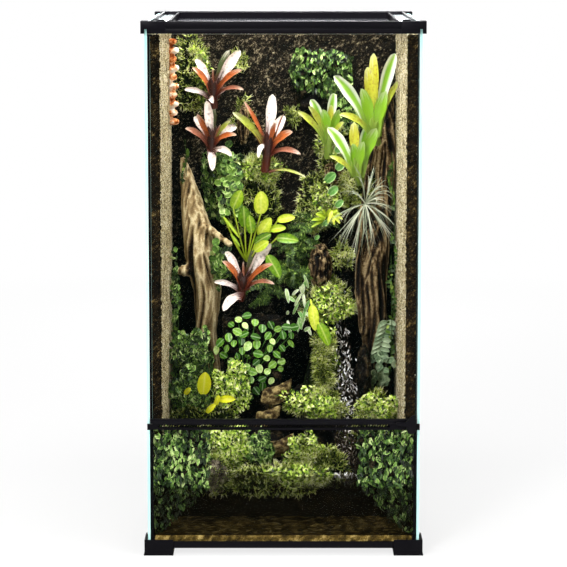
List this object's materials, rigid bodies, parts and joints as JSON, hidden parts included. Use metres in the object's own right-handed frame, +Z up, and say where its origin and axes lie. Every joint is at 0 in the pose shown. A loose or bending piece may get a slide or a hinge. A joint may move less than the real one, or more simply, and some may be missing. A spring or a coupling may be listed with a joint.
{
  "type": "reptile terrarium",
  "caption": "Tall planted glass terrarium: side-hung front door with turning latch, vented mid bar, water area, lift-out screen lid and closable cable ports.",
  "frame": {"origin": "middle of the floor area that the terrarium stands on, at the underside of its feet", "axes": "+Z up, -Y towards the door at the front, +X to the right as seen from the front"},
  "size_m": [0.4644, 0.4731, 0.8866],
  "materials": {
    "black_frame": "extruded and moulded black plastic, satin",
    "black_seal": "black sealing strip, matt",
    "black_door_trim": "moulded black plastic, satin",
    "black_lid": "moulded black plastic, satin",
    "clear_glass": "clear float glass with pale blue-green cut edges",
    "clear_strip": "clear extruded plastic",
    "nylon_bush": "natural nylon",
    "steel_pin": "stainless steel",
    "steel_mesh": "woven stainless steel mesh",
    "dark_cork": "pressed dark cork panel, grainy",
    "tan_cork": "pressed cork panel, grainy",
    "sand": "coarse sand",
    "water": "still water",
    "soil": "dark soil and rock",
    "driftwood": "weathered driftwood",
    "bark": "cork bark",
    "moss": "live moss",
    "dark_leaf": "small dark green leaves",
    "light_leaf": "light green leaves",
    "pink_leaf": "pink and red strap leaves",
    "yellow_leaf": "yellow-green strap leaves",
    "silver_leaf": "silver-green thin leaves",
    "fungus": "orange and white shelf fungus"
  },
  "bodies": {
    "tank": {"base_frame": "black_frame", "foot_front_left": "black_frame", "foot_front_right": "black_frame", "foot_rear_left": "black_frame", "foot_rear_right": "black_frame", "floor_glass": "clear_glass", "left_glass": "clear_glass", "right_glass": "clear_glass", "rear_glass": "clear_glass", "lower_front_glass": "clear_glass", "front_seal_left": "black_seal", "front_seal_right": "black_seal", "vent_bar": "black_frame", "vent_grille": "black_frame", "hinge_bush_lower": "nylon_bush", "hinge_bush_upper": "nylon_bush", "top_rail_front": "black_frame", "top_rail_rear": "black_frame", "top_cap_front_left": "black_frame", "top_cap_front_right": "black_frame", "top_cap_rear_left": "black_frame", "top_cap_rear_right": "black_frame", "top_strip_left": "clear_strip", "top_strip_right": "clear_strip", "top_trim_left": "black_frame", "top_trim_right": "black_frame", "background_panel": "dark_cork", "side_panel_left": "tan_cork", "side_panel_right": "tan_cork", "sand_bed": "sand", "pool_water": "water", "planting_mound": "soil", "driftwood_left": "driftwood", "driftwood_right": "driftwood", "bark_shells": "bark", "water_trickle": "water", "moss_cushions": "moss", "creeping_fig": "dark_leaf", "peperomia": "light_leaf", "fern": "dark_leaf", "broadleaf_plant": "light_leaf", "red_bromeliads": "pink_leaf", "yellow_bromeliads": "yellow_leaf", "air_plant": "silver_leaf", "shelf_fungus": "fungus"},
    "door": {"door_glass": "clear_glass", "door_profile": "black_door_trim", "door_hinge_block": "black_door_trim", "hinge_pin_upper": "steel_pin", "hinge_pin_lower": "steel_pin", "latch_housing": "black_door_trim"},
    "latch": {"latch_lever": "black_door_trim", "latch_cam": "black_door_trim"},
    "screen_lid": {"lid_frame": "black_lid", "lid_mesh": "steel_mesh"},
    "lock_left": {"lid_lock_left": "black_lid"},
    "lock_right": {"lid_lock_right": "black_lid"},
    "port_slider_left": {"cable_slider_left": "black_lid"},
    "port_slider_right": {"cable_slider_right": "black_lid"}
  },
  "joints": [
    {"name": "door_hinge", "type": "hinge", "parent": "tank", "child": "door", "pos_m": [-0.218, -0.2255, 0.5], "axis": [0, 0, -1], "range_deg": [0, 110]},
    {"name": "latch_turn", "type": "hinge", "parent": "door", "child": "latch", "pos_m": [0.2105, -0.23, 0.2136], "axis": [0, -1, 0], "range_deg": [0, 90]},
    {"name": "lid_lift", "type": "slide", "parent": "tank", "child": "screen_lid", "axis": [0, 0, 1], "range_m": [0, 0.06]},
    {"name": "lock_left_slide", "type": "slide", "parent": "tank", "child": "lock_left", "axis": [1, 0, 0], "range_m": [0, 0.007]},
    {"name": "lock_right_slide", "type": "slide", "parent": "tank", "child": "lock_right", "axis": [-1, 0, 0], "range_m": [0, 0.007]},
    {"name": "port_left_slide", "type": "slide", "parent": "tank", "child": "port_slider_left", "axis": [1, 0, 0], "range_m": [0, 0.044]},
    {"name": "port_right_slide", "type": "slide", "parent": "tank", "child": "port_slider_right", "axis": [-1, 0, 0], "range_m": [0, 0.044]}
  ]
}
